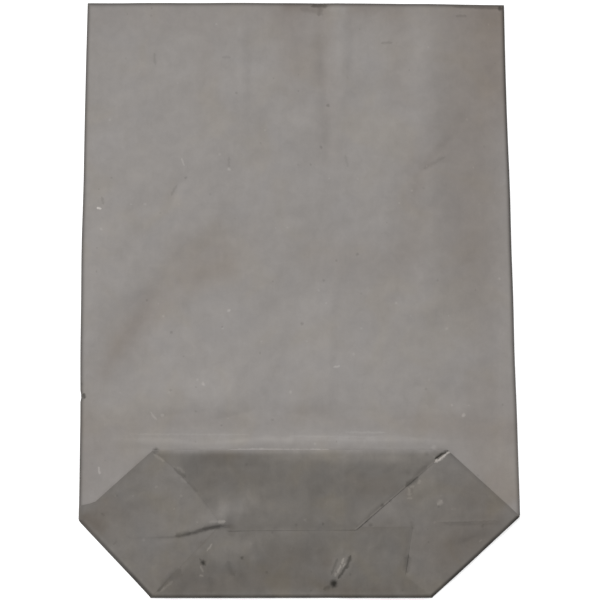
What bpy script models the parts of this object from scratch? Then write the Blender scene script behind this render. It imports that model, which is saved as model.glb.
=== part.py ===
"""A cross-bottom paper bag lying flat: one sheet of kraft paper, folded and glued shut below.

The sheet is a tube with a lap seam down its back. Its lower end is opened into a hexagon: the
front is turned up, the back runs on down, and the two corners turn in over them as triangles.
An upper and a lower flap then fold to the middle and meet there. Every wall is one thickness of
paper, every fold is round, and the mouth is open. Metres, with the back panel on Z = 0, X across
the bag and +Y towards the mouth. The surface that is drawn is the sheet's outer face, and the
paper's thickness goes in behind it.
"""

import bmesh
import bpy
import numpy as np

# The flat tube
BAG_WIDTH = 0.200
BAG_LENGTH = 0.280
PAPER = 0.00014
LAYER_GAP = 0.00024

# The lap seam down the back, where the sheet lies double
SEAM_X = 0.008
SEAM_LAP = 0.012
SEAM_STEP = 0.0003

# The hexagonal bottom, from its lowest fold to the crease between its corners, and on to its top
LOWER_HALF = 0.0352
UPPER_HALF = 0.0310

# How far each slanted fold runs in beyond a true 45 degrees
LOWER_LEFT_SKEW = -0.0009
LOWER_RIGHT_SKEW = 0.0059
UPPER_LEFT_SKEW = 0.0026
UPPER_RIGHT_SKEW = 0.0013

# The two flaps: their lengths, and how far their slanted sides run in beyond 45 degrees
LOWER_FLAP = 0.0312
UPPER_FLAP = 0.0362
LOWER_FLAP_LEFT_SKEW = -0.0014
UPPER_FLAP_LEFT_SKEW = -0.0015
UPPER_FLAP_RIGHT_SKEW = 0.0065
# The lower flap's right side turns upright past a short slant
SLANT_STOP = 0.0100
UPRIGHT_LEAN = 0.0026

# The corners' cut edges, inside the flaps, measured in from each side fold
LEFT_CORNER_REACH = 0.0712
RIGHT_CORNER_REACH = 0.0770

# The air in the bag lifts the front a little, and less at the mouth
FRONT_CROWN = 0.0022
MOUTH_CROWN = 0.0009
CROWN_RUN = 0.070

# How far a side fold rounds out past its panel, and the pinhole left where folds meet at a corner
FOLD_REACH = 0.00036
PINHOLE = 0.0006

# How finely each stretch is divided
BODY_ROWS = 13
HALF_ROWS = 5
FLAP_ROWS = 5
BEND_STEPS = 6
FOLD_STEPS = 4
OUTER_COLUMNS = 4
CORNER_COLUMNS = 4

# Heights of the layers' outer faces, counted up from the back panel
FRONT_LEVEL = 3 * PAPER + LAYER_GAP
TURNED_LEVEL = FRONT_LEVEL + LAYER_GAP
CORNER_RISE = 2 * PAPER + LAYER_GAP
CORNER_LEVEL = TURNED_LEVEL + CORNER_RISE
CORNER_CLIMB = CORNER_LEVEL - CORNER_RISE
BEND_RADIUS = CORNER_RISE + LAYER_GAP / 2
FLAP_STEP = CORNER_RISE + LAYER_GAP

# Places along the bag
LOWEST = -BAG_LENGTH / 2
MOUTH = BAG_LENGTH / 2
CREASE = LOWEST + LOWER_HALF
BOTTOM_TOP = CREASE + UPPER_HALF

SIDE = BAG_WIDTH / 2
LEFT_CUT = -SIDE + LEFT_CORNER_REACH
RIGHT_CUT = SIDE - RIGHT_CORNER_REACH
FIXED_COLUMNS = np.array([
    SEAM_X - 2 * SEAM_LAP,
    SEAM_X - SEAM_LAP,
    SEAM_X - SEAM_STEP,
    SEAM_X,
    SEAM_X + SEAM_LAP,
    SEAM_X + SEAM_LAP + SEAM_STEP,
])


def ease(share):
    """0 to 1 with level ends: three times the square less twice the cube."""
    share = np.clip(share, 0, 1)
    return share * share * (3 - 2 * share)


def panel_columns(left, right):
    """X of a panel's columns from edge to edge, with those of the seam at fixed places."""
    outer_left = np.linspace(left, FIXED_COLUMNS[0], OUTER_COLUMNS, endpoint=False)
    outer_right = np.linspace(FIXED_COLUMNS[-1], right, OUTER_COLUMNS + 1)[1:]
    return np.concatenate([outer_left, FIXED_COLUMNS, outer_right])


def fold_profile(rise):
    """A fold seen end on, as reach and height: half an oval from one layer up to the other."""
    angle = np.linspace(0, np.pi, FOLD_STEPS + 1)
    return FOLD_REACH * np.sin(angle), rise / 2 * (1 - np.cos(angle))


def folded_row(left, right, rise):
    """X and height across a panel and the two corners that turn in over it, cut edge to cut edge."""
    reach, height = fold_profile(rise)
    left_corner = np.linspace(LEFT_CUT, left, CORNER_COLUMNS, endpoint=False)
    right_corner = np.linspace(right, RIGHT_CUT, CORNER_COLUMNS + 1)[1:]
    columns = panel_columns(left, right)
    x = np.concatenate([left_corner, left - reach[::-1], columns[1:-1], right + reach, right_corner])
    up = np.concatenate([
        np.full(CORNER_COLUMNS, rise),
        height[::-1],
        np.zeros(len(columns) - 2),
        height,
        np.full(CORNER_COLUMNS, rise),
    ])
    return x, up


# Columns of a folded row that make its two side folds
LEFT_FOLD = range(CORNER_COLUMNS, CORNER_COLUMNS + FOLD_STEPS)
PANEL_SPANS = len(FIXED_COLUMNS) - 1 + 2 * OUTER_COLUMNS
RIGHT_FOLD = range(LEFT_FOLD.stop + PANEL_SPANS, LEFT_FOLD.stop + PANEL_SPANS + FOLD_STEPS)


def add_surface(mesh, points, skipped=()):
    """Adds rows by columns of points as four-sided faces, without the skipped (row, column) ones."""
    rows = [[mesh.verts.new(point) for point in row] for row in points]
    for r in range(len(rows) - 1):
        for c in range(len(rows[0]) - 1):
            if (r, c) not in skipped:
                mesh.faces.new((rows[r][c], rows[r][c + 1], rows[r + 1][c + 1], rows[r + 1][c]))
    return rows


def thicken(mesh, points):
    """Marks the points that the seam doubles."""
    doubled = mesh.verts.layers.deform.verify()
    for point in points:
        point[doubled][0] = 1.0


def lap_points(rows, first_column):
    """The points of a surface between the seam's two edges."""
    seam = first_column + OUTER_COLUMNS + 3
    return [point for row in rows for point in row[seam:seam + 2]]


def front_height(x, y):
    """Height of the front's outer face: a low crown over the air, level at the sides and bottom."""
    rise = ease((y - BOTTOM_TOP) / CROWN_RUN)
    fall = ease((y - MOUTH + CROWN_RUN) / CROWN_RUN)
    crown = (FRONT_CROWN + (MOUTH_CROWN - FRONT_CROWN) * fall) * rise
    return FRONT_LEVEL + crown * np.cos(np.pi * x / BAG_WIDTH) ** 2


def add_tube(mesh):
    """The body of the bag: back, front and two side folds, from the crease up to the mouth."""
    edge = SIDE - FOLD_REACH
    x = panel_columns(-edge, edge)
    y = np.concatenate([[CREASE], np.linspace(CREASE + PINHOLE, BOTTOM_TOP, HALF_ROWS),
                        np.linspace(BOTTOM_TOP, MOUTH, BODY_ROWS)[1:]])
    flat_x, flat_y = np.meshgrid(x, y)
    back = add_surface(mesh, np.stack([flat_x, flat_y, np.zeros_like(flat_x)], axis=-1))
    thicken(mesh, lap_points(back, 0))
    add_surface(mesh, np.stack([flat_x, flat_y, front_height(flat_x, flat_y)], axis=-1))
    reach, height = fold_profile(FRONT_LEVEL)
    for side in (-1, 1):
        fold_x, fold_y = np.meshgrid(side * (edge + reach), y[1:])
        fold_z = np.broadcast_to(height, fold_x.shape)
        add_surface(mesh, np.stack([fold_x, fold_y, fold_z], axis=-1))


def add_front_turn(mesh):
    """The crease where the front turns back up over itself: half a round, below the bottom."""
    edge = SIDE - FOLD_REACH
    angle = np.linspace(0, np.pi, BEND_STEPS + 1)
    x, turn = np.meshgrid(panel_columns(-edge, edge), angle)
    y = CREASE - LAYER_GAP / 2 * np.sin(turn)
    z = FRONT_LEVEL + LAYER_GAP / 2 * (1 - np.cos(turn))
    add_surface(mesh, np.stack([x, y, z], axis=-1))


def half_edges(y, far, left_skew, right_skew):
    """Left and right edge of one half of the hexagon, from the corners in to its far fold."""
    run = abs(far - CREASE)
    share = np.abs(y - CREASE) / run
    left = -SIDE + share * (run + left_skew)
    right = SIDE - share * (run + right_skew)
    return left + FOLD_REACH, right - FOLD_REACH


def add_folded_strip(mesh, y, level, rise, left, right, toward):
    """A half of the bottom, the round bend at its end, and its flap, as one strip of the sheet.

    Each row is a folded row. On the half and the flap, heights add to the row's level, and on the
    flap they count down from it. On the bend, they shorten the radius. toward is -1 for a strip
    that bends at the lowest fold and 1 for the one that bends at the bottom's top.
    """
    half_y, flap_y = y
    half_level, flap_level = level
    bend_y = half_y[-1]
    axis = (half_level[-1] + flap_level[0]) / 2
    rows = []
    for i in range(len(half_y)):
        x, up = folded_row(left[0][i], right[0][i], rise[i])
        rows.append(np.stack([x, np.full_like(x, half_y[i]), half_level[i] + up], axis=-1))
    x, up = folded_row(left[0][-1], right[0][-1], rise[-1])
    for angle in np.linspace(0, np.pi, BEND_STEPS + 1)[1:]:
        radius = BEND_RADIUS - up
        rows.append(np.stack([
            x,
            bend_y + toward * radius * np.sin(angle),
            axis - radius * np.cos(angle),
        ], axis=-1))
    for i in range(1, len(flap_y)):
        x, up = folded_row(left[1][i], right[1][i], CORNER_RISE)
        rows.append(np.stack([x, np.full_like(x, flap_y[i]), flap_level[i] - up], axis=-1))
    pinholes = {(0, column) for fold in (LEFT_FOLD, RIGHT_FOLD) for column in fold}
    return add_surface(mesh, np.array(rows), pinholes)


def add_lower_strip(mesh):
    """The back's own lower end: half of the hexagon, the lowest fold and the lower flap."""
    bend_y = LOWEST + BEND_RADIUS
    half_y = np.concatenate([[CREASE], np.linspace(CREASE - PINHOLE, bend_y, HALF_ROWS)])
    climb = CORNER_CLIMB * ease((half_y - bend_y) / (CREASE - bend_y))
    left, right = half_edges(half_y, LOWEST, LOWER_LEFT_SKEW, LOWER_RIGHT_SKEW)
    end_y = LOWEST + LOWER_FLAP
    slant_y = LOWEST + SLANT_STOP
    flap_y = np.concatenate([[bend_y], np.linspace(slant_y, end_y, FLAP_ROWS)])
    run = flap_y - bend_y
    flap_left = left[-1] + run * (1 + LOWER_FLAP_LEFT_SKEW / LOWER_FLAP)
    slanted = right[-1] - np.minimum(run, slant_y - bend_y)
    flap_right = slanted + UPRIGHT_LEAN * np.clip((flap_y - slant_y) / (end_y - slant_y), 0, 1)
    flap_climb = CORNER_CLIMB * ease((flap_y - bend_y) / (CREASE - bend_y))
    rows = add_folded_strip(
        mesh,
        (half_y, flap_y),
        (np.zeros_like(half_y), 2 * BEND_RADIUS + flap_climb),
        CORNER_RISE + climb,
        (left, flap_left),
        (right, flap_right),
        -1,
    )
    thicken(mesh, lap_points(rows, LEFT_FOLD.stop))


def add_upper_strip(mesh):
    """The turned-up front: half of the hexagon, its top fold and the upper flap, which lies on top."""
    bend_y = BOTTOM_TOP - BEND_RADIUS
    half_y = np.concatenate([[CREASE], np.linspace(CREASE + PINHOLE, bend_y, HALF_ROWS)])
    left, right = half_edges(half_y, BOTTOM_TOP, UPPER_LEFT_SKEW, UPPER_RIGHT_SKEW)
    flap_y = np.linspace(bend_y, BOTTOM_TOP - UPPER_FLAP, FLAP_ROWS + 1)
    run = bend_y - flap_y
    flap_left = left[-1] + run * (1 + UPPER_FLAP_LEFT_SKEW / UPPER_FLAP)
    flap_right = right[-1] - run * (1 + UPPER_FLAP_RIGHT_SKEW / UPPER_FLAP)
    # It climbs over the lower flap's end, and is level from there on
    lower_end = LOWEST + LOWER_FLAP
    climb = FLAP_STEP * ease(run / (bend_y - lower_end))
    add_folded_strip(
        mesh,
        (half_y, flap_y),
        (np.full_like(half_y, TURNED_LEVEL), TURNED_LEVEL + 2 * BEND_RADIUS + climb),
        np.full_like(half_y, CORNER_RISE),
        (left, flap_left),
        (right, flap_right),
        1,
    )


def kraft_paper():
    """Grey-brown recycled kraft paper, unbleached and matt."""
    material = bpy.data.materials.new("kraft_paper")
    material.use_nodes = True
    shader = material.node_tree.nodes["Principled BSDF"]
    shader.inputs["Base Color"].default_value = (0.27, 0.25, 0.235, 1)
    shader.inputs["Roughness"].default_value = 0.85
    shader.inputs["Metallic"].default_value = 0
    return material


def build_bag():
    """Joins the surfaces into one sheet and gives it the paper's thickness."""
    mesh = bmesh.new()
    mesh.verts.layers.deform.verify()
    add_tube(mesh)
    add_front_turn(mesh)
    add_lower_strip(mesh)
    add_upper_strip(mesh)
    bmesh.ops.remove_doubles(mesh, verts=mesh.verts, dist=PAPER / 100)
    bmesh.ops.recalc_face_normals(mesh, faces=mesh.faces)
    back = min(mesh.faces, key=lambda face: face.calc_center_median().z)
    if back.normal.z > 0:
        bmesh.ops.reverse_faces(mesh, faces=mesh.faces)
    data = bpy.data.meshes.new("paper_bag")
    mesh.to_mesh(data)
    mesh.free()
    data.materials.append(kraft_paper())
    data.shade_smooth()
    bag = bpy.data.objects.new("paper_bag", data)
    bpy.context.scene.collection.objects.link(bag)
    doubled = bag.vertex_groups.new(name="seam")
    wall = bag.modifiers.new("paper", "SOLIDIFY")
    wall.thickness = 2 * PAPER
    wall.offset = -1
    wall.vertex_group = doubled.name
    wall.thickness_vertex_group = 0.5
    wall.use_even_offset = True
    return bag


for startup_object in list(bpy.data.objects):
    bpy.data.objects.remove(startup_object, do_unlink=True)
build_bag()
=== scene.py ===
import math

import bpy
import numpy as np
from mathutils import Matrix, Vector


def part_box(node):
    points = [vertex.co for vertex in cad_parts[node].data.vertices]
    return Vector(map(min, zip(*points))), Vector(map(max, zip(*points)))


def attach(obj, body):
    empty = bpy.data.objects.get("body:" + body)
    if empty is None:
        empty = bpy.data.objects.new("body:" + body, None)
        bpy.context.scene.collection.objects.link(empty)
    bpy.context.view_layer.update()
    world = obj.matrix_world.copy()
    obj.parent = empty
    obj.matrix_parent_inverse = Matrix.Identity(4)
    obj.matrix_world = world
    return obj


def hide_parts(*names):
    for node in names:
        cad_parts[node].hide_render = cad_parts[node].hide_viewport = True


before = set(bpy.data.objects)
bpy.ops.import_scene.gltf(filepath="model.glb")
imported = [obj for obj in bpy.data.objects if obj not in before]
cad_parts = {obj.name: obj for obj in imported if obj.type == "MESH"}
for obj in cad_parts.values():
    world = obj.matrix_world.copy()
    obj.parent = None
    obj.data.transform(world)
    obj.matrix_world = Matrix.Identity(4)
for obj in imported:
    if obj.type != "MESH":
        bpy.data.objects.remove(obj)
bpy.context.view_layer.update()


# The view
# The bag lies flat and is seen from over its middle, by an eye that stands a little towards its
# folded end. Places on the photograph are read back through this view onto the bag.
EYE_DISTANCE = 0.55
EYE_TILT = math.radians(7.6)
LOOKED_AT = np.array([0.0003, -0.0045, 0.0])
FOCAL_PIXELS = 1180.0
FRAME_PIXELS = 600.0
SENSOR_MM = 36.0
SEEN_LEVEL = 0.002
EYE = LOOKED_AT + EYE_DISTANCE * np.array([0.0, -math.sin(EYE_TILT), math.cos(EYE_TILT)])


def on_bag(pixels):
    """X and Y where the view through a pixel meets the bag: its ray, drawn out until it sinks there."""
    pixels = np.asarray(pixels, float)
    across = (pixels[..., 0] - FRAME_PIXELS / 2) / FOCAL_PIXELS
    up = (FRAME_PIXELS / 2 - pixels[..., 1]) / FOCAL_PIXELS
    ray_y = math.sin(EYE_TILT) + up * math.cos(EYE_TILT)
    ray_z = up * math.sin(EYE_TILT) - math.cos(EYE_TILT)
    reach = (SEEN_LEVEL - EYE[2]) / ray_z
    return np.stack([EYE[0] + reach * across, EYE[1] + reach * ray_y], axis=-1)


def places_on_bag(pixels):
    """The places on the bag of one or more pixels, whose X and Y are given by turns."""
    return on_bag(np.reshape(pixels, (-1, 2)))


def in_scene(name, data):
    """A new object with its data, linked into the scene."""
    made = bpy.data.objects.new(name, data)
    bpy.context.scene.collection.objects.link(made)
    return made


eye_data = bpy.data.cameras.new("view")
eye_data.sensor_width = SENSOR_MM
eye_data.lens = SENSOR_MM * FOCAL_PIXELS / FRAME_PIXELS
eye_data.clip_start = 0.01
eye = in_scene("view", eye_data)
eye.location = EYE
eye.rotation_euler = (EYE_TILT, 0, 0)
bpy.context.scene.camera = eye


# The tube
# The body of the bag: a front and a back of one sheet of kraft paper, with round folds down both
# sides and a glued lap down the back. A little air lifts the front, and use has creased it.
MM = 0.001
low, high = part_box("paper_bag")
SIDE = (high[0] - low[0]) / 2
LOWEST = low[1]
MOUTH = high[1]
PAPER = 0.00011
LAYER_GAP = 0.00003
LAYER = PAPER + LAYER_GAP
PRESSED_THINNER = 0.86
FOLD_REACH = 0.00020
FOLD_STEPS = 8
LOWER_HALF = 0.0352
UPPER_HALF = 0.0310
CREASE = LOWEST + LOWER_HALF
BOTTOM_TOP = CREASE + UPPER_HALF
FRONT_LEVEL = 3 * PAPER + LAYER_GAP
TURNED_LEVEL = FRONT_LEVEL + LAYER_GAP
PINHOLE = 0.0006
SEAM_X = 0.008
SEAM_RAMP = 0.004
SEAM_STEP = 0.0002
SWELL_WAVES = 14
WAVE_LENGTHS = (0.6, 1.7)
PATH_TAPER = 4
PATH_END = 0.4
JOINING_STEPS = 1e6


def ease(share):
    """0 to 1 with level ends: three times the square less twice the cube."""
    share = np.clip(share, 0, 1)
    return share * share * (3 - 2 * share)


def bell(distance):
    """1 at no distance, falling off as the power of minus its square."""
    return np.exp(-np.square(distance))


def swell(x, y, span, seed):
    """Smooth uneven height of about -1 to 1: sine waves of mixed headings, about one span long, summed."""
    draw = np.random.default_rng(seed)
    shortest, longest = WAVE_LENGTHS
    total = np.zeros(np.broadcast(x, y).shape)
    waves = draw.uniform((0, shortest, 0), (math.tau, longest, math.tau), (SWELL_WAVES, 3))
    for heading, length, phase in waves:
        along = x * math.cos(heading) + y * math.sin(heading)
        total += np.sin(math.tau * along / (span * length) + phase)
    return total / math.sqrt(SWELL_WAVES)


def swells(x, y, several):
    """Swells of several heights, spans and seeds, summed."""
    return sum(height * swell(x, y, span, seed) for height, span, seed in several)


def along_path(x, y, pixels, width):
    """1 on the line through some places, a bell across it, and less towards both ends."""
    stops = places_on_bag(pixels)
    lengths = np.hypot(*np.diff(stops, axis=0).T)
    nearest = np.full(np.shape(x), np.inf)
    walked = np.zeros(np.shape(x))
    for start, end, length, before in zip(stops, stops[1:], lengths, np.cumsum(lengths) - lengths):
        run = (end - start) / length
        along = np.clip((x - start[0]) * run[0] + (y - start[1]) * run[1], 0, length)
        away = np.hypot(x - start[0] - along * run[0], y - start[1] - along * run[1])
        walked = np.where(away < nearest, before + along, walked)
        nearest = np.minimum(nearest, away)
    share = walked / lengths.sum()
    ends = ease(share * PATH_TAPER + PATH_END) * ease((1 - share) * PATH_TAPER + PATH_END)
    return bell(nearest / width) * ends


def along_paths(x, y, marks):
    """Marks of several paths, summed: each path times its amount. The half width is in millimetres."""
    return sum(amount * along_path(x, y, pixels, width * MM) for pixels, width, amount in marks)


# The body leans a little to the left of its bottom, spreads at the right and isn't cut quite square.
# The crease between the bottom's halves runs a little uphill.
BODY_LEAN = -0.0017
LEAN_RUN = 0.130
SIDE_SPREAD = 0.00035
RIGHT_BULGE = 0.0008
RIGHT_BULGE_AT = (510, 255)
RIGHT_BULGE_REACH = 0.055
NICK = 0.0006
NICK_AT = (84, 396)
NICK_REACH = 0.0012
NICK_INWARD = 0.05
SIDE_WAVE = (0.00012, 0.060, 8)
SIDE_WAVE_INWARD = 0.2
CORNER_LIFT = 0.0009
CORNER_LIFT_REACH = 0.020
MOUTH_CUT = (0.0002, 0.0004, 0.0012)
MOUTH_CUT_RUN = 0.020


def lie_unevenly(x, y):
    """Where a place of any layer comes to lie: leaned, spread and lifted by smooth shares of X and Y."""
    out = x / SIDE
    lean = BODY_LEAN * ease((y - CREASE) / LEAN_RUN)
    bulge = RIGHT_BULGE * bell((y - on_bag(RIGHT_BULGE_AT)[1]) / RIGHT_BULGE_REACH) * ease(out)
    nick = NICK * bell((y - on_bag(NICK_AT)[1]) / NICK_REACH) * ease(1 - (1 + out) / NICK_INWARD)
    wave = swells(y, 0 * y, [SIDE_WAVE]) * ease(1 - (1 - np.abs(out)) / SIDE_WAVE_INWARD)
    lift = CORNER_LIFT * out * bell((y - CREASE) / CORNER_LIFT_REACH)
    cut = np.interp(x, (-SIDE, 0, SIDE), MOUTH_CUT) * ease((y - MOUTH) / MOUTH_CUT_RUN + 1)
    return x + lean + SIDE_SPREAD * out + bulge + nick + wave, y + lift - cut


# The front's crown, its swells, and its creases: places on the photograph with X and Y by turns, half
# width and height in millimetres
CROWN = 0.0036
CROWN_RUNS = (0.085, 0.075)
CROWN_FALL = 0.80
LEFT_SLOPE = 0.075
RIGHT_SLOPE = 0.046
SMOOTH_SIDE = 0.010
SMOOTH_BOTTOM = 0.006
SMOOTH_MOUTH = 0.030
MOUTH_SMOOTHED = 0.6
LOWEST_DIP = -0.00004
FRONT_SWELLS = ((0.00026, 0.045, 3), (0.00009, 0.015, 5))
FRONT_CREASES = (
    ((316, -2, 322, 30, 325, 80, 330, 130, 327, 165), 3, -0.6), ((338, -2, 341, 40, 344, 96), 2.6, 0.4),
    ((352, 8, 353, 40, 351, 76), 1.6, -0.2), ((243, 8, 242, 60, 246, 130), 2.8, 0.32),
    ((252, 50, 250, 104), 1.6, -0.16), ((96, 388, 118, 345, 150, 300, 185, 262, 232, 236), 7.5, -0.9),
    ((98, 382, 112, 353, 128, 330, 152, 302), 3, -0.34),
    ((432, -4, 426, 60, 432, 120, 438, 230, 432, 300), 7, 0.6),
    ((417, 180, 424, 169, 440, 150, 456, 135), 1.2, -0.28),
    ((80, 430, 200, 427, 340, 423, 440, 427, 520, 433), 5.6, -0.52),
    ((294, 415, 316, 412, 336, 414), 3, -0.16), ((112, 447, 300, 445, 456, 447), 3.2, 0.6),
    ((128, 433, 210, 434, 305, 436), 0.7, 0.08), ((345, 432, 386, 433), 0.6, 0.09),
    ((150, 438, 262, 439), 0.7, -0.06), ((300, 440, 424, 442), 0.7, 0.07),
    ((180, 427, 242, 428), 0.8, -0.06), ((390, 436, 447, 437), 0.7, -0.07),
    ((260, 425, 330, 426), 0.7, 0.06), ((336, 296, 398, 296), 1, 0.11),
    ((332, 280, 330, 360, 328, 440), 1.8, 0.18), ((188, 174, 173, 197, 166, 216), 1.6, -0.2),
    ((236, 80, 232, 120, 236, 150), 2, 0.14), ((205, 95, 212, 150, 200, 200), 4, -0.18),
    ((384, 140, 392, 190, 386, 240), 4, 0.16), ((270, 215, 330, 222, 352, 250), 4.5, -0.2),
)


def front_height(x, y):
    """Height of the front: a crown that is steep at the right and low at both ends, swells and creases."""
    rise = ease((y - BOTTOM_TOP) / CROWN_RUNS[0])
    fall = 1 - CROWN_FALL * ease((y - MOUTH) / CROWN_RUNS[1] + 1)
    height = CROWN * rise * fall * ease((x + SIDE) / LEFT_SLOPE) * ease((SIDE - x) / RIGHT_SLOPE)
    inside = ease((SIDE - np.abs(x)) / SMOOTH_SIDE) * ease((y - BOTTOM_TOP) / SMOOTH_BOTTOM)
    inside = inside * (1 - MOUTH_SMOOTHED * ease((y - MOUTH) / SMOOTH_MOUTH + 1))
    height += inside * (swells(x, y, FRONT_SWELLS) + along_paths(*lie_unevenly(x, y), FRONT_CREASES) * MM)
    return FRONT_LEVEL + np.maximum(height, LOWEST_DIP)


def sheet_object(name, surfaces, tones):
    """One object from surfaces, each a grid of points with its marks, a turn-over flag and left-out faces.

    Points that fall together are made one, faces follow the grids, and the sheet is then given its
    thickness, less where it is pressed, behind the outer face that the grids draw. The tone is 1 plus
    the patches of painted tone and shade, where the sheet is seen, plus a painted highlight along some
    edges.
    """
    points, marks, faces, start = [], [], [], 0
    for grid, mark, turned, left_out in surfaces:
        rows, columns = grid.shape[:2]
        index = start + np.arange(rows * columns).reshape(rows, columns)
        corners = [index[:-1, :-1], index[:-1, 1:], index[1:, 1:], index[1:, :-1]]
        quads = np.stack(corners[::-1] if turned else corners, axis=-1)
        keep = np.ones(quads.shape[:2], bool)
        for row, column in left_out:
            keep[row, column] = False
        x, y = lie_unevenly(grid[..., 0], grid[..., 1])
        points.append(np.stack([x, y, grid[..., 2]], axis=-1).reshape(-1, 3))
        marks.append(mark.reshape(-1, 4))
        faces.append(quads[keep])
        start += rows * columns
    points, marks, faces = np.concatenate(points), np.concatenate(marks), np.concatenate(faces)
    _, first, joined = np.unique(np.round(points * JOINING_STEPS).astype(np.int64), axis=0,
                                 return_index=True, return_inverse=True)
    points, marks, faces = points[first], marks[first], joined.reshape(-1)[faces]
    shown, edge_shade, edge_highlight, pressed = marks.T
    tone = 1 + along_paths(points[:, 0], points[:, 1], tones) * shown + edge_highlight
    mesh = bpy.data.meshes.new(name)
    mesh.from_pydata(points, [], faces.tolist())
    for mark_name, values in (("shown", shown), ("edge_shade", edge_shade), ("tone", tone)):
        layer = mesh.attributes.new(mark_name, "FLOAT", "POINT")
        layer.data.foreach_set("value", values.astype(np.float32))
    mesh.validate()
    mesh.shade_smooth()
    piece = in_scene(name, mesh)
    thick = piece.vertex_groups.new(name="thick")
    for index, share in enumerate((1 - PRESSED_THINNER * pressed).tolist()):
        thick.add([index], share, "REPLACE")
    wall = piece.modifiers.new("paper", "SOLIDIFY")
    wall.thickness = PAPER
    wall.offset = -1
    wall.vertex_group = thick.name
    return piece


def back_height(x):
    """Height of the back's outer face: level, but lifted one paper's thickness where the lap covers it."""
    return np.where(x < SEAM_X, PAPER * ease((x - SEAM_X + SEAM_RAMP) / SEAM_RAMP), 0)


def marked(shape, shown, edge_shade, edge_highlight=0, pressed=0):
    """Four marks of every point: how far it is seen from above, its painted edge shade, its painted edge
    highlight, and how far it is pressed.
    """
    marks = [np.broadcast_to(mark, shape) for mark in (shown, edge_shade, edge_highlight, pressed)]
    return np.stack(marks, axis=-1).astype(float)


COVERED_ROWS = 8
STREAKED_ROWS = 45
FRONT_ROWS = 108
FRONT_COLUMNS = 134
BACK_COLUMNS = 20
SEAM_COLUMNS = 4
RIM = 0.0028
RIM_COLUMNS = 8
TUBE_EDGE = SIDE - FOLD_REACH
TURN_STEPS = 6
STREAKED = 0.0220
tube_y = np.concatenate([
    [CREASE],
    np.linspace(CREASE + PINHOLE, BOTTOM_TOP, COVERED_ROWS),
    np.linspace(BOTTOM_TOP, BOTTOM_TOP + STREAKED, STREAKED_ROWS)[1:],
    np.linspace(BOTTOM_TOP + STREAKED, MOUTH - RIM, FRONT_ROWS)[1:],
    np.linspace(MOUTH - RIM, MOUTH, RIM_COLUMNS)[1:],
])
front_stations = np.concatenate([
    np.linspace(-TUBE_EDGE, RIM - TUBE_EDGE, RIM_COLUMNS, endpoint=False),
    np.linspace(RIM - TUBE_EDGE, TUBE_EDGE - RIM, FRONT_COLUMNS, endpoint=False),
    np.linspace(TUBE_EDGE - RIM, TUBE_EDGE, RIM_COLUMNS + 1),
])
half_oval = np.linspace(0, math.pi, FOLD_STEPS + 1)

# How dark the painted shade along the edges is, over what reach: the right one grows darker towards the
# mouth
LEFT_SHADE, LEFT_SHADE_REACH = 0.76, 0.0010
RIGHT_SHADE, RIGHT_SHADE_REACH, RIGHT_SHADE_RUN = 0.66, 0.0011, 0.140
MOUTH_SHADE, MOUTH_SHADE_REACH = 0.84, 0.0013
FOLD_SHADE = 0.9
BACK_SHADE_REACH = 0.002

front_x, front_y = np.meshgrid(front_stations, tube_y)
front_grid = np.stack([front_x, front_y, front_height(front_x, front_y)], axis=-1)
# Painted shade along the front's side folds and its mouth
right_shade = RIGHT_SHADE + (1 - RIGHT_SHADE) * ease((front_y - CREASE) / RIGHT_SHADE_RUN)
front_shade = np.maximum.reduce([
    LEFT_SHADE * bell((front_x + TUBE_EDGE) / LEFT_SHADE_REACH),
    right_shade * bell((TUBE_EDGE - front_x) / RIGHT_SHADE_REACH),
    MOUTH_SHADE * bell((MOUTH - front_y) / MOUTH_SHADE_REACH),
])
back_stations = np.concatenate([
    np.linspace(-TUBE_EDGE, SEAM_X - SEAM_RAMP, BACK_COLUMNS, endpoint=False),
    np.linspace(SEAM_X - SEAM_RAMP, SEAM_X - SEAM_STEP, SEAM_COLUMNS),
    np.linspace(SEAM_X, TUBE_EDGE, BACK_COLUMNS),
])
back_x, back_y = np.meshgrid(back_stations, tube_y)
# Painted shade along the back's side folds
back_shade = bell((TUBE_EDGE - np.abs(back_x)) / BACK_SHADE_REACH)
back_grid = np.stack([back_x, back_y, back_height(back_x)], axis=-1)
tube_surfaces = [
    (front_grid, marked(front_x.shape, 1, front_shade), False, ()),
    (back_grid, marked(back_x.shape, 0, back_shade), True, ()),
]
# The round side folds, painted in shade all over
for side in (-1, 1):
    edge_height = front_height(np.full(len(tube_y) - 1, side * TUBE_EDGE), tube_y[1:])[:, None]
    fold_x, fold_y = np.meshgrid(side * (TUBE_EDGE + FOLD_REACH * np.sin(half_oval)), tube_y[1:])
    fold_z = edge_height / 2 * (1 - np.cos(half_oval))
    tube_surfaces.append((np.stack([fold_x, fold_y, fold_z], axis=-1),
                          marked(fold_x.shape, (1 - np.cos(half_oval)) / 2, FOLD_SHADE), side > 0, ()))
turn_x, turn_angle = np.meshgrid(front_x[0], np.linspace(0, math.pi, TURN_STEPS + 1))
turn_grid = np.stack([
    turn_x,
    CREASE - LAYER_GAP / 2 * np.sin(turn_angle),
    front_height(turn_x, CREASE) + LAYER_GAP / 2 * (1 - np.cos(turn_angle)),
], axis=-1)
tube_surfaces.append((turn_grid, marked(turn_x.shape, 0, 0), True, ()))
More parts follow.
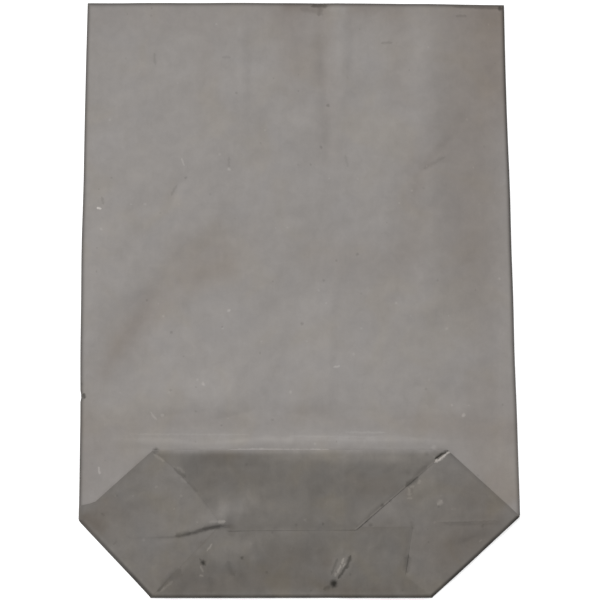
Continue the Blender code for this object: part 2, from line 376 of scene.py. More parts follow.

# Where the body's paper is paler or darker: uneven tone, and painted light and shade, as on the darker
# right side and on the slopes of the creases: places, half width in millimetres and amount
TUBE_TONES = (
    ((470, -30, 466, 90, 470, 170, 472, 290), 17, -0.16), ((504, -40, 503, 40, 506, 110), 11, -0.13),
    ((418, 140, 413, 190, 410, 276), 7, -0.07), ((452, 136, 424, 170, 412, 200), 3.2, -0.04),
    ((0, 14, 200, 12, 400, 12, 600, 14), 10, -0.05), ((288, -30, 294, 40, 300, 84), 10, -0.12),
    ((322, 36, 322, 92), 5, -0.04), ((491, -30, 493, 140), 7.5, -0.05),
    ((464, 392, 500, 388), 8, -0.05), ((160, 414, 240, 412), 6, -0.05), ((214, 392, 238, 390), 7, 0.05),
    ((186, 278, 238, 269), 6, -0.04), ((322, -10, 324, 20, 327, 50), 5, -0.06),
    ((348, 4, 402, 10), 6, -0.05), ((397, -20, 398, 40, 400, 120), 7, -0.06),
    ((206, 20, 206, 112), 6.5, -0.045), ((282, 5, 326, 6), 3.2, -0.11), ((344, 7, 382, 8), 2.6, -0.08),
    ((329, 8, 346, 9), 1.6, 0.1), ((325, 60, 330, 100, 330, 160), 6, -0.05),
    ((340, 10, 342, 60), 3, 0.04), ((100, 380, 118, 346, 140, 312), 4.2, -0.08),
    ((108, 362, 140, 324, 170, 296, 206, 270, 246, 254), 11, -0.11),
    ((164, 262, 200, 244, 232, 236), 10, -0.05), ((296, 256, 350, 262, 412, 256), 10, -0.06),
    ((322, 304, 400, 312), 15, -0.055), ((150, 365, 270, 345, 400, 352), 28, 0.08),
    ((94, 120, 92, 310), 16, 0.04), ((60, 426, 180, 424, 300, 420, 450, 424, 540, 428), 5, -0.045),
    ((292, 409, 316, 408, 332, 411), 3.6, -0.06), ((400, 424, 470, 428, 540, 430), 9, -0.08),
    ((484, 270, 492, 420), 12, -0.05), ((118, 442, 300, 440, 452, 442), 4, 0.05),
    ((78, 400, 80, 440, 84, 500), 9, -0.08), ((94, 456, 142, 442), 10, -0.07),
    ((466, 452, 530, 446), 11, -0.07), ((486, 474, 500, 488, 516, 504), 9.5, -0.16),
    ((140, 388, 240, 388), 9, 0.035), ((336, 438, 350, 438), 3, 0.05), ((216, 438, 230, 438), 3, 0.04),
    ((152, 288, 152, 322), 6, -0.045),
)
tube = sheet_object("bag_tube", tube_surfaces, TUBE_TONES)


class Wiring:
    """Adds nodes to one tree and links them, with values given for the sockets that aren't linked."""

    def __init__(self, tree):
        self.tree = tree

    def node(self, kind, inputs=None, **settings):
        made = self.tree.nodes.new("ShaderNode" + kind)
        for name, value in settings.items():
            setattr(made, name, value)
        for key, value in (inputs or {}).items():
            if isinstance(value, bpy.types.NodeSocket):
                self.tree.links.new(value, made.inputs[key])
            else:
                made.inputs[key].default_value = value
        return made

    def math(self, operation, first, second=0.0, third=0.0):
        return self.node("Math", {0: first, 1: second, 2: third}, operation=operation).outputs[0]

    def times(self, first, second):
        return self.math("MULTIPLY", first, second)

    def vector(self, operation, first, second=None, output=0, **more):
        inputs = {0: first, **more}
        if second is not None:
            inputs[1] = second
        return self.node("VectorMath", inputs, operation=operation).outputs[output]

    def noise(self, position, scale, detail=2.0, distortion=0.0, output="Fac"):
        inputs = {"Vector": position, "Scale": scale, "Detail": detail, "Distortion": distortion}
        return self.node("TexNoise", inputs).outputs[output]

    def between(self, value, low_end, high_end):
        inputs = {"Value": value, "From Min": low_end, "From Max": high_end}
        return self.node("MapRange", inputs, interpolation_type="SMOOTHSTEP").outputs["Result"]

    def mix(self, share, first, second, blend="MIX"):
        made = self.node("Mix", {"Factor": share}, data_type="RGBA", blend_type=blend, clamp_factor=False)
        for name, value in (("A", first), ("B", second)):
            socket = next(s for s in made.inputs if s.name == name and s.type == "RGBA")
            if isinstance(value, bpy.types.NodeSocket):
                self.tree.links.new(value, socket)
            else:
                socket.default_value = value
        return next(s for s in made.outputs if s.type == "RGBA")

    def scaled(self, colour, amount, warmth=0.0):
        """The colour times an amount. Under 1, its power divides red and multiplies blue besides."""
        warmer = self.math("POWER", self.math("MINIMUM", amount, 1.0), warmth)
        red = self.math("DIVIDE", amount, warmer)
        tint = self.node("CombineColor", {0: red, 1: amount, 2: self.times(amount, warmer)}).outputs[0]
        return self.mix(1.0, colour, tint, "MULTIPLY")


def new_group(name, inputs, outputs):
    """An empty shader node group with its named sockets, and the wiring to fill it."""
    group = bpy.data.node_groups.new(name, "ShaderNodeTree")
    for direction, sockets in (("INPUT", inputs), ("OUTPUT", outputs)):
        for socket_name, kind, value in sockets:
            socket = group.interface.new_socket(socket_name, in_out=direction, socket_type=kind)
            if value is not None:
                socket.default_value = value
    given, result = (group.nodes.new("NodeGroup" + end) for end in ("Input", "Output"))
    return group, Wiring(group), given.outputs, result.inputs


FLOAT, COLOUR, VECTOR = "NodeSocketFloat", "NodeSocketColor", "NodeSocketVector"

# The pulp's scales are in waves per metre
CLOUD_SCALE = 60
PUFF_SCALE = 210
FINE_SCALE = 800
PUFF_SHARE = 1.4
FINE_SHARE = 0.5
DRIFT_SCALE = 42
GRAIN_SCALE = 620
GRAIN_STRETCH = 0.16
FIBRE_SCALE = 300
FIBRE_EDGES = (0.012, 0.003)
BREAK_SCALE = 420
BREAK_EDGES = (0.50, 0.62)
FLECK_SCALE = 170
FLECK_SIZES = (0.08, 0.10)
FLECK_CHANCE = 0.93
FLECK_STRENGTH = 0.20
FLECK_FULL = 0.02
FLECK_WANDER = 0.0008
FLECK_WANDER_SCALE = 900
FIBRE_PALER = 0.05
ROUGHNESS = (0.74, 0.16)
RELIEF_SHARES = (0.5, 0.6, 0.5)
WARM = (1.012, 1.002, 0.974, 1)
COOL = (0.990, 0.996, 1.008, 1)
DRIFT_EDGE = 0.20


def kraft_group():
    """Kraft paper of recycled pulp: clouds, a warm and cool drift, a grain, fibres and flecks."""
    group, w, given, result = new_group(
        "kraft_pulp",
        [("Position", VECTOR, None), ("Paper", COLOUR, (0.28, 0.26, 0.24, 1)), ("Clouds", FLOAT, 0.1),
         ("Grain", FLOAT, 0.05), ("Drift", FLOAT, 1.0)],
        [("Color", COLOUR, None), ("Roughness", FLOAT, None), ("Height", FLOAT, None)])
    place = given["Position"]
    broad = w.noise(place, CLOUD_SCALE, 3)
    cloud = w.noise(place, PUFF_SCALE, 3, 0.5)
    fine = w.noise(place, FINE_SCALE)
    drift = w.noise(place, DRIFT_SCALE, distortion=0.8)
    upward = w.noise(w.vector("MULTIPLY", place, (1, GRAIN_STRETCH, 1)), GRAIN_SCALE, distortion=0.3)
    # Fibres are where a bent noise passes its middle, and a second noise breaks them up
    bent = w.noise(place, FIBRE_SCALE, distortion=2.2)
    thread = w.between(w.math("ABSOLUTE", w.math("SUBTRACT", bent, 0.5)), *FIBRE_EDGES)
    fibre = w.times(thread, w.between(w.noise(place, BREAK_SCALE, 1), *BREAK_EDGES))
    # Flecks are small uneven cells, of which chance keeps a few dark ones and a few pale ones
    wander = w.vector("SCALE", w.noise(place, FLECK_WANDER_SCALE, 1, output="Color"), Scale=FLECK_WANDER)
    cells = w.node("TexVoronoi", {"Vector": w.vector("ADD", place, wander), "Scale": FLECK_SCALE},
                   voronoi_dimensions="2D").outputs
    chance = w.node("SeparateColor", {"Color": cells["Color"]}).outputs
    size = w.math("MULTIPLY_ADD", chance[2], FLECK_SIZES[1], FLECK_SIZES[0])
    small = w.between(cells["Distance"], size, FLECK_FULL)
    dark_fleck, pale_fleck = (w.times(small, w.between(chance[i], FLECK_CHANCE, 1.0)) for i in (0, 1))

    def more(value, amount):
        """1 plus an amount of a value."""
        return w.math("MULTIPLY_ADD", value, amount, 1.0)

    def swing(value, amount):
        """1 plus an amount of how far a value is off its middle."""
        return more(w.math("SUBTRACT", value, 0.5), amount)

    strength = given["Clouds"]
    tone = swing(broad, strength)
    for factor in (swing(cloud, w.times(strength, PUFF_SHARE)), swing(fine, w.times(strength, FINE_SHARE)),
                   swing(upward, given["Grain"]), more(fibre, FIBRE_PALER),
                   more(dark_fleck, -FLECK_STRENGTH), more(pale_fleck, FLECK_STRENGTH)):
        tone = w.times(tone, factor)
    colour = w.scaled(given["Paper"], tone)
    for tint, full in ((WARM, 0.5 + DRIFT_EDGE), (COOL, 0.5 - DRIFT_EDGE)):
        share = w.times(w.between(drift, 0.5, full), given["Drift"])
        colour = w.mix(share, colour, tint, "MULTIPLY")
    rough = w.math("MULTIPLY_ADD", fine, ROUGHNESS[1], ROUGHNESS[0])
    height = 0.0
    for part, amount in zip((fine, cloud, fibre), RELIEF_SHARES):
        height = w.math("MULTIPLY_ADD", part, amount, height)
    for name, value in (("Color", colour), ("Roughness", rough), ("Height", height)):
        w.tree.links.new(value, result[name])
    return group


# How soon a line mark widens to its full width, how wide its ends are, and how much of a spot is full
LINE_WIDENING = 8.0
LINE_END = 0.15
SPOT_FULL = 0.15


def mark_group(name, is_line):
    """A mark that is full in its middle: a round spot, or a line that comes to a point at both ends."""
    group, w, given, result = new_group(
        name,
        [("Position", VECTOR, None), ("Start", VECTOR, None), ("Run", VECTOR, None),
         ("Width", FLOAT, 0.001), ("Strength", FLOAT, 1.0)],
        [("Mask", FLOAT, None)])
    flat = w.vector("MULTIPLY", given["Position"], (1, 1, 0))
    away = w.vector("SUBTRACT", flat, given["Start"])
    nearest, width = (0, 0, 0), given["Width"]
    full = 0.0 if is_line else w.times(width, SPOT_FULL)
    if is_line:
        run = given["Run"]
        length = w.vector("DOT_PRODUCT", run, run, output="Value")
        share = w.math("DIVIDE", w.vector("DOT_PRODUCT", away, run, output="Value"), length)
        share = w.math("MINIMUM", w.math("MAXIMUM", share, 0.0), 1.0)
        nearest = w.vector("SCALE", run, Scale=share)
        bulk = w.times(w.times(share, w.math("SUBTRACT", 1.0, share)), LINE_WIDENING)
        bulk = w.math("MINIMUM", bulk, 1.0)
        width = w.times(width, w.math("MULTIPLY_ADD", bulk, 1 - LINE_END, LINE_END))
    mask = w.between(w.vector("DISTANCE", away, nearest, output="Value"), width, full)
    w.tree.links.new(w.times(mask, given["Strength"]), result["Mask"])
    return group


KRAFT = kraft_group()
LINE = mark_group("line_mark", True)
SPOT = mark_group("spot_mark", False)
MARK_WANDER = 0.0013
MARK_WANDER_SCALE = 750
# The colours of the dark and pale marks: painted shade and shadow, painted highlights, and specks
DARK_MARK = (0.12, 0.117, 0.10, 1)
PALE_MARK = (2.1, 2.1, 2.1, 1)
# How much warmer the paper turns where its tone is darker, painted shade included
DARKENED_WARMTH = 0.20
PULP_RELIEF = 0.00012


def kraft_material(name, papers, clouds, grain, drift, edge_shade_tone, dark_marks, pale_marks):
    """Kraft paper for one piece: its pulp, its tone where it is seen from above, painted edge shade and
    marks.
    """
    material = bpy.data.materials.new(name)
    material.use_nodes = True
    w = Wiring(material.node_tree)
    shader = material.node_tree.nodes["Principled BSDF"]
    place = w.node("TexCoord").outputs["Object"]
    shown, edge_shade, tone = (w.node("Attribute", attribute_name=mark).outputs["Fac"]
                         for mark in ("shown", "edge_shade", "tone"))
    paper = w.scaled(w.mix(shown, *papers), tone, DARKENED_WARMTH)
    pulp = w.node("Group", {"Position": place, "Paper": paper, "Clouds": clouds, "Grain": grain,
                            "Drift": drift}, node_tree=KRAFT).outputs
    # Painted shade along the edges and folds
    colour = w.mix(edge_shade, pulp["Color"], edge_shade_tone, "MULTIPLY")
    wander = w.vector("SUBTRACT", w.noise(place, MARK_WANDER_SCALE, output="Color"), (0.5, 0.5, 0.5))
    beside = w.vector("ADD", place, w.vector("SCALE", wander, Scale=MARK_WANDER))
    # Dark and pale marks: painted shade, shadow and highlights, besides specks
    for marks, mark_tone in ((dark_marks, DARK_MARK), (pale_marks, PALE_MARK)):
        covered = 0.0
        for pixels, width, strength in marks:
            ends = places_on_bag(pixels)
            inputs = {"Position": beside, "Start": (*ends[0], 0), "Width": width * MM, "Strength": strength}
            if len(ends) > 1:
                inputs["Run"] = (*(ends[1] - ends[0]), 0)
            mark = w.node("Group", inputs, node_tree=LINE if len(ends) > 1 else SPOT)
            covered = w.math("MAXIMUM", mark.outputs[0], covered)
        colour = w.mix(w.times(covered, shown), colour, mark_tone, "MULTIPLY")
    bump = w.node("Bump", {"Height": pulp["Height"], "Strength": 0.35, "Distance": PULP_RELIEF})
    for socket, value in (("Base Color", colour), ("Roughness", pulp["Roughness"]),
                          ("Normal", bump.outputs[0])):
        w.tree.links.new(value, shader.inputs[socket])
    shader.inputs["Specular IOR Level"].default_value = 0.25
    return material


# Small marks of the body: a spot's place or a line's two, half width in millimetres and strength. Besides
# dark specks and scratches, they are painted shade in the left edge's nick, along creases, at the mouth and
# at the flap's tip
TUBE_DARK = (
    ((328, 106), 1.2, 0.3), ((321, 148), 1.1, 0.28), ((357, 255), 1, 0.28), ((302, 324), 1.2, 0.26),
    ((154, 52, 155, 64), 1.2, 0.17), ((381, 43, 393, 42), 1.1, 0.2), ((222, 57, 231, 57), 1, 0.13),
    ((345, 156, 348, 168), 1.1, 0.12), ((423, 170, 445, 157), 1.8, 0.16), ((186, 178), 1.2, 0.25),
    ((177, 185, 171, 196), 1.1, 0.16), ((456, 15, 467, 15), 1.2, 0.22),
    ((101, 196, 103, 204), 1.1, 0.18), ((83, 393, 84, 399), 1.2, 0.7), ((311, 5.2, 328, 5.4), 1.5, 0.5),
    ((321, 5, 318.5, 15), 2.5, 0.27), ((300, 8, 318, 11), 2.2, 0.14), ((500.5, 7.2), 1.6, 0.7),
    ((452, 5.6, 502, 7.4), 1, 0.3), ((155.3, 450.6), 2, 0.6), ((229, 158, 229, 168), 1, 0.12),
)
# Pale flecks, and painted highlights along the lit ridges and on the bottom's top fold
TUBE_PALE = (
    ((96.5, 207, 101, 208), 0.8, 0.8), ((464, 415), 1.3, 0.35), ((98, 467, 99, 474), 0.8, 0.35),
    ((229, 311), 1, 0.3), ((229, 170), 1.2, 0.28), ((182, 158, 184, 166), 0.8, 0.22),
    ((334, 367, 340, 366), 0.7, 0.3), ((203, 384), 1.1, 0.22), ((162, 415), 1.2, 0.22),
    ((150, 412, 156, 420), 0.8, 0.2), ((228, 449.5, 334, 450), 0.8, 0.32),
    ((246, 449.5, 266, 449.5), 1, 0.35), ((128, 434, 250, 434.5), 0.7, 0.07),
    ((345, 432, 385, 432.5), 0.8, 0.12), ((290, 436, 380, 437), 0.7, 0.07), ((434, 447.5), 1.8, 0.16),
)
BODY_PAPER = (0.283, 0.265, 0.252, 1)
tube.data.materials.append(kraft_material(
    "kraft_body", (BODY_PAPER, BODY_PAPER), clouds=0.13, grain=0.05, drift=1.0,
    edge_shade_tone=(0.24, 0.235, 0.23, 1), dark_marks=TUBE_DARK, pale_marks=TUBE_PALE))
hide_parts("paper_bag")
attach(tube, "root")


# The folded bottom
# The same sheet's lower end, opened into a hexagon and glued. Its corners lie turned in, the lower
# flap is folded over them first and the upper flap last. Its paper is darker than the body's, and creased.
LOWER_FLAP = 0.0312
UPPER_FLAP = 0.0362
LOWER_EDGES = (-SIDE + LOWER_HALF - 0.0019, SIDE - LOWER_HALF - 0.0053)
UPPER_EDGES = (-SIDE + UPPER_HALF + 0.0026, SIDE - UPPER_HALF - 0.0013)
LOWER_FLAP_SLOPE = 1 - 0.0014 / LOWER_FLAP
UPPER_FLAP_SLOPES = (1 - 0.0015 / UPPER_FLAP, 1 + 0.0065 / UPPER_FLAP)
UPPER_FLAP_BULGE = 0.0024
SLANT_STOP = 0.0100
UPRIGHT_SET_IN = 0.0024
UPRIGHT_LEAN = 0.0036
TIP_SPREAD = 0.0022
TIP_BLUNT = 0.0048
CORNER_CUTS = (-SIDE + 0.0712, SIDE - 0.0770)
CORNER_RISE = PAPER + LAYER
CORNER_CLIMB = TURNED_LEVEL
BEND_RADIUS = CORNER_RISE + LAYER_GAP / 2
FLAP_STEP = 2 * LAYER
BEND_STEPS = 10
CORNER_COLUMNS = 46
OUTER_COLUMNS = 44
MIDDLE_COLUMNS = (14, 8)
COLUMN_CROWDING = 1.5
MIDDLE = 0.019
SINK_RUN = 0.0100

# The old side fold, which stands up as a lip across the left corner
LIP = ((120, 537), (150, 537), (177, 536), (190, 532.8), (205, 527.4), (219, 524.8))
LIP_HEIGHTS = (0.0, 0.00018, 0.00045, 0.00100, 0.00140, 0.00130)
LIP_ABOVE = 0.0042
LIP_BELOW = 0.00055
LIP_START_RUN = 0.004
LIP_END_RUN = 0.006
LIP_PAST_END = 0.001


def lip_height(x, y):
    """The lip: its crest follows a drawn line, long above it and short below, and ends under the flaps."""
    crest = on_bag(LIP)
    crest_y = np.interp(x, crest[:, 0], crest[:, 1])
    height = np.interp(x, crest[:, 0], LIP_HEIGHTS)
    ended = ease((x - crest[-1, 0] - LIP_PAST_END) / LIP_END_RUN)
    begun = ease((x - crest[0, 0]) / LIP_START_RUN + 1)
    above = np.maximum(y - crest_y, 0) / LIP_ABOVE
    below = np.maximum(crest_y - y, 0) / LIP_BELOW
    return height * (1 - ended) * begun * bell(above + below)


# The corners' stand, swells and creases, as on the front
CORNER_STAND = 0.00026
CORNER_SWELLS = ((0.00020, 0.028, 11), (0.00006, 0.010, 12))
CORNER_CREASES = (
    ((436, 523, 500, 522), 0.9, 0.18), ((436, 526, 500, 525), 1.2, -0.14),
    ((171, 540, 171, 570), 1.2, 0.12), ((396, 502, 426, 488, 454, 472), 2.4, 0.22),
    ((458, 546, 478, 536), 1.2, -0.18), ((430, 561, 472, 563), 2, 0.16),
    ((176, 474, 192, 486, 208, 503), 2.8, 0.3), ((120, 500, 152, 486), 3, -0.18),
    ((98, 506, 126, 522, 160, 522), 3.2, 0.22), ((88, 515, 104, 528), 2.6, -0.18),
    ((130, 548, 170, 545, 200, 540), 3, 0.22), ((462, 492, 480, 508), 3, -0.16),
    ((420, 545, 450, 535), 2.6, 0.18),
)


def corner_relief(x, y):
    """How far the corners stand off their flat lie: a soft swell, the lip, and small creases."""
    x, y = lie_unevenly(x, y)
    height = CORNER_STAND + swells(x, y, CORNER_SWELLS) + along_paths(x, y, CORNER_CREASES) * MM
    return np.maximum(height, 0) + lip_height(x, y)


# Places where a flap's slanted side or end has sprung up: a place, a radius and a height in millimetres
FLAP_LIFTS = (
    ((441, 455), 2.8, 0.18), ((411, 482), 3, 0.16), ((345, 566), 5, 0.35), ((171, 579), 4, 0.26),
    ((205, 556), 3, 0.4), ((180, 472), 3.4, 0.4), ((407, 564), 3.6, 0.2),
)
# The flaps' rise, swells and creases, as on the front
FLAP_RISE = 0.00016
FLAP_SWELLS = ((0.00016, 0.024, 21), (0.00007, 0.009, 22))
FLAP_CREASES = (
    ((352, 552, 345, 568, 337, 581), 1, -0.36), ((344, 548, 338, 562, 332, 576), 1.4, 0.34),
    ((218, 508, 236, 505, 262, 500), 4.8, 0.4), ((218, 556, 238, 549, 258, 545), 4.8, 0.4),
    ((226, 526, 250, 520, 272, 514), 2.4, -0.26), ((362, 522, 380, 512, 402, 505), 2.6, 0.28),
    ((158, 460, 300, 458, 430, 462), 3.4, 0.22), ((190, 466, 230, 470, 270, 484), 6, -0.36),
    ((345, 478, 380, 486, 412, 492), 7, -0.36), ((268, 512, 300, 502, 332, 496), 4, 0.22),
    ((278, 550, 300, 558, 324, 568), 5, -0.22), ((362, 545, 382, 556, 400, 562), 5, -0.22),
    ((206, 556, 204, 572, 210, 590), 1.2, -0.16), ((236, 560, 238, 580), 1.2, 0.14),
    ((264, 562, 266, 584), 1, -0.12), ((284, 546, 288, 572), 1.4, 0.12),
    ((310, 548, 306, 590), 1.6, -0.14), ((352, 470, 356, 500), 2, -0.18),
    ((250, 478, 262, 500), 2.6, 0.18), ((326, 505, 346, 507), 2.6, 0.22),
)
GLUED_RUN = 0.0045
PRESSED_RUN = 0.0026
EDGE_ROW = 0.00006


def flap_relief(x, y, to_edge):
    """How far the flaps stand off the corners: swells and creases, none at a glued edge, and lifts."""
    x, y = lie_unevenly(x, y)
    height = FLAP_RISE + swells(x, y, FLAP_SWELLS) + along_paths(x, y, FLAP_CREASES) * MM
    height = np.maximum(height, 0) * ease(to_edge / GLUED_RUN)
    for pixel, radius, lift in FLAP_LIFTS:
        centre = on_bag(pixel)
        height = height + lift * MM * bell(np.hypot(x - centre[0], y - centre[1]) / (radius * MM))
    return height


def middle_sink(x, layers):
    """How far a flap sinks between the corners' cut edges, where it covers that many layers fewer."""
    return layers * LAYER * ease((x - CORNER_CUTS[0]) / SINK_RUN) * ease((CORNER_CUTS[1] - x) / SINK_RUN)


def pressed_in(x, to_edge):
    """How far a glued flap is pressed at its edge, and how far its top sinks with the paper below it."""
    pressed = 1 - ease(to_edge / PRESSED_RUN)
    return pressed, (2 - middle_sink(x, 1) / LAYER) * PRESSED_THINNER * PAPER * pressed


def folded_columns(left, right):
    """X, and share of the way up to the corners, across a panel and its two turned-in corners.

    Each row runs from one corner's cut edge out to the fold, round it as half an oval, across the
    panel and back. The panel's middle columns stand still, so that the seam runs straight.
    """
    left, right = left[:, None], right[:, None]
    outward = 1 - np.linspace(1, 0, CORNER_COLUMNS, endpoint=False) ** COLUMN_CROWDING
    span = np.linspace(0, 1, OUTER_COLUMNS + 1)
    middle = np.concatenate([
        np.linspace(-MIDDLE, SEAM_X - SEAM_RAMP, MIDDLE_COLUMNS[0], endpoint=False),
        np.linspace(SEAM_X - SEAM_RAMP, SEAM_X - SEAM_STEP, SEAM_COLUMNS),
        np.linspace(SEAM_X, MIDDLE, MIDDLE_COLUMNS[1]),
    ])
    sides = [
        CORNER_CUTS[0] + (left - CORNER_CUTS[0]) * outward,
        left - FOLD_REACH * np.sin(half_oval[::-1]),
        left + (-MIDDLE - left) * span[1:-1],
        np.ones_like(left) * middle,
        MIDDLE + (right - MIDDLE) * span[1:-1],
        right + FOLD_REACH * np.sin(half_oval),
        CORNER_CUTS[1] + (right - CORNER_CUTS[1]) * outward[::-1],
    ]
    up = (1 - np.cos(half_oval)) / 2
    shares = np.concatenate([np.ones(CORNER_COLUMNS), up[::-1],
                             np.zeros(2 * (OUTER_COLUMNS - 1) + len(middle)),
                             up, np.ones(CORNER_COLUMNS)])
    return np.concatenate(sides, axis=1), np.broadcast_to(shares, (len(left), len(shares)))


FIRST_FOLD = range(CORNER_COLUMNS, CORNER_COLUMNS + FOLD_STEPS)
CORNER_SHOWN = 0.82
# Reach of the painted shade along the sides and the lowest fold, how it lessens upwards, and its patches
SHADE_SIDE = 0.0021
SHADE_LOWEST = 0.0012
SHADE_LESS, SHADE_LESS_RUN = 0.4, 0.030
SHADE_SWELLS = ((0.10, 0.012, 23),)
# Reach of the painted highlight along the flaps' edges, and of the painted highlight on the shoulders
# beside the painted edge shade: how far in and how wide
HIGHLIGHT_SIDE = 0.0007
HIGHLIGHT_END = 0.0006
SHOULDER_HIGHLIGHT = 0.08
SIDE_SHOULDER = (0.0030, 0.0009)
LOWEST_SHOULDER = (0.0019, 0.0007)


def inward_of(x):
    """How far in each point of a grid is from its row's left end, and from its right end."""
    return x - x.min(axis=1, keepdims=True), x.max(axis=1, keepdims=True) - x


def shoulder(inward, place):
    """1 at a place beside an edge, falling off as a bell."""
    return bell((inward - place[0]) / place[1])


def folded_strip(half_y, flap_y, edges, levels, toward, seam_back, flap_shown, shaded_edges, highlit_edges):
    """A half of the hexagon, its round bend and its flap, as one grid of points with their marks.

    On the half, the layers stand at the level plus their share of the rise. On the bend that share
    shortens the radius, and on the flap it counts down again. The reliefs are eased in round the bend.
    Edges carry painted shade and a painted highlight: left, right and lowest or end.
    """
    (half_left, half_right), (flap_left, flap_right) = edges
    half_level, half_rise, flap_level, sunk_layers = levels
    x, share = folded_columns(half_left, half_right)
    y = np.broadcast_to(half_y[:, None], x.shape)
    lifted = share * (half_rise[:, None] + corner_relief(x, y))
    low_panel = seam_back * back_height(x) * (1 - share)
    half = np.stack([x, y, half_level + lifted + low_panel], axis=-1)

    angle = np.linspace(0, math.pi, BEND_STEPS + 1)[1:, None]
    bend_x, bend_share = x[-1:].repeat(BEND_STEPS, 0), share[:1].repeat(BEND_STEPS, 0)
    radius = BEND_RADIUS - bend_share * CORNER_RISE
    turned = (1 - np.cos(angle)) / 2
    bend_y = half_y[-1] + toward * radius * np.sin(angle)
    relief = corner_relief(bend_x, half_y[-1]) * (bend_share * (1 - turned) + turned)
    to_side = np.minimum(*inward_of(bend_x))
    relief = relief + turned * flap_relief(bend_x, half_y[-1], to_side)
    bend_pressed, bend_dip = (turned * part for part in pressed_in(bend_x, to_side))
    relief = relief - bend_dip * (1 - bend_share)
    sunk = middle_sink(bend_x, sunk_layers[0]) * turned * (1 - bend_share)
    bend_z = (half_level + flap_level[0]) / 2 - radius * np.cos(angle) + relief - sunk
    bend = np.stack([bend_x, bend_y, bend_z], axis=-1)

    flap_x, flap_share = folded_columns(flap_left[1:], flap_right[1:])
    flap_rows = np.broadcast_to(flap_y[1:, None], flap_x.shape)
    flap_z = flap_level[1:, None] - flap_share * CORNER_RISE
    to_side = np.minimum(*inward_of(flap_x))
    to_edge = np.minimum(to_side, np.abs(flap_rows - flap_y[-1]))
    flap_z = flap_z + corner_relief(flap_x, flap_rows) + flap_relief(flap_x, flap_rows, to_edge)
    flap_pressed, flap_dip = pressed_in(flap_x, to_edge)
    flap_z = flap_z - (middle_sink(flap_x, sunk_layers[1:, None]) + flap_dip) * (1 - flap_share)
    flap = np.stack([flap_x, flap_rows, flap_z], axis=-1)

    all_x = np.concatenate([x, bend_x, flap_x])
    all_y = np.concatenate([y, bend_y, flap_rows])
    all_share = np.concatenate([share, bend_share, flap_share])
    flapped = np.concatenate([np.zeros(len(half_y)), turned[:, 0], np.ones(len(flap_y) - 1)])[:, None]
    first_shown = np.full(len(half_y) + BEND_STEPS, flap_shown[0])
    flap_part = flapped * np.concatenate([first_shown, flap_shown[1:]])[:, None]
    shown = np.maximum(CORNER_SHOWN * all_share * (1 - flapped), flap_part)
    to_left, to_right = inward_of(all_x)
    to_lowest = all_y - LOWEST
    shade_less = 1 - SHADE_LESS * ease(to_lowest / SHADE_LESS_RUN)
    # Painted shade along the sides and the lowest fold, less upwards and in patches
    edge_shade = np.maximum.reduce([
        shaded_edges[0] * bell(np.square(to_left / SHADE_SIDE)) * (1 - flapped) * shade_less,
        shaded_edges[1] * bell(np.square(to_right / SHADE_SIDE)) * (1 - flapped),
        shaded_edges[2] * bell(np.square(to_lowest / SHADE_LOWEST)) * np.ones_like(to_left),
    ]) * (1 - SHADE_SWELLS[0][0] + swells(all_x, all_y, SHADE_SWELLS))
    # A painted highlight along the flaps' edges, strongest where they face away from the lamp, to even out
    # their shadow lines, and on shoulders beside the painted shade
    edge_highlight = np.maximum.reduce([
        highlit_edges[0] * bell(to_left / HIGHLIGHT_SIDE),
        highlit_edges[1] * bell(to_right / HIGHLIGHT_SIDE),
        highlit_edges[2] * bell((all_y - flap_y[-1]) / HIGHLIGHT_END) * np.ones_like(to_left),
    ]) * flapped
    edge_highlight += SHOULDER_HIGHLIGHT * shaded_edges[2] * np.maximum(
        shoulder(to_left, SIDE_SHOULDER) * (1 - flapped), shoulder(to_lowest, LOWEST_SHOULDER))
    pressed = np.concatenate([np.zeros_like(x), bend_pressed, flap_pressed])
    return np.concatenate([half, bend, flap]), marked(all_x.shape, shown, edge_shade, edge_highlight, pressed)


def half_edges(y, far, corners):
    """Left and right edge of one half of the hexagon: straight from its corners to its far fold's ends."""
    share = np.abs(y - CREASE) / abs(far - CREASE)
    left = -SIDE + share * (corners[0] + SIDE)
    right = SIDE - share * (SIDE - corners[1])
    return left + FOLD_REACH, right - FOLD_REACH


# Lower half, lowest fold and lower flap
TIP_RUN = 0.0120
TIP_ROWS = 28
LOWER_ROWS = 24
SLANTED_ROWS = 13
UPRIGHT_ROWS = 23
low_bend = LOWEST + BEND_RADIUS
lower_y = np.concatenate([[CREASE], np.linspace(CREASE - PINHOLE, CREASE - TIP_RUN, TIP_ROWS),
                          np.linspace(CREASE - TIP_RUN, low_bend, LOWER_ROWS)[1:]])
lower_left, lower_right = half_edges(lower_y, LOWEST, LOWER_EDGES)
lower_rise = CORNER_RISE + CORNER_CLIMB * ease((lower_y - low_bend) / (CREASE - low_bend))
slant_y, lower_end = LOWEST + SLANT_STOP, LOWEST + LOWER_FLAP
lower_flap_y = np.concatenate([np.linspace(low_bend, slant_y, SLANTED_ROWS),
                               np.linspace(slant_y, lower_end - EDGE_ROW, UPRIGHT_ROWS)[1:], [lower_end]])
lower_run = lower_flap_y - low_bend
slanted = np.minimum(lower_run / (slant_y - low_bend), 1)
upright = np.clip((lower_flap_y - slant_y) / (lower_end - slant_y), 0, 1)
lower_flap_edges = (
    lower_left[-1] + lower_run * LOWER_FLAP_SLOPE,
    lower_right[-1] - slanted * (slant_y - low_bend + UPRIGHT_SET_IN) + UPRIGHT_LEAN * upright,
)
lower_flap_level = 2 * BEND_RADIUS + CORNER_CLIMB * ease(lower_run / (CREASE - low_bend))
lower_grid, lower_marks = folded_strip(
    lower_y, lower_flap_y, ((lower_left, lower_right), lower_flap_edges),
    (0.0, lower_rise, lower_flap_level, np.full_like(lower_flap_y, 2.0)),
    toward=-1, seam_back=1, flap_shown=np.ones_like(lower_flap_y),
    shaded_edges=(0.90, 1.0, 0.90), highlit_edges=(0.0, 0.10, 0.0))

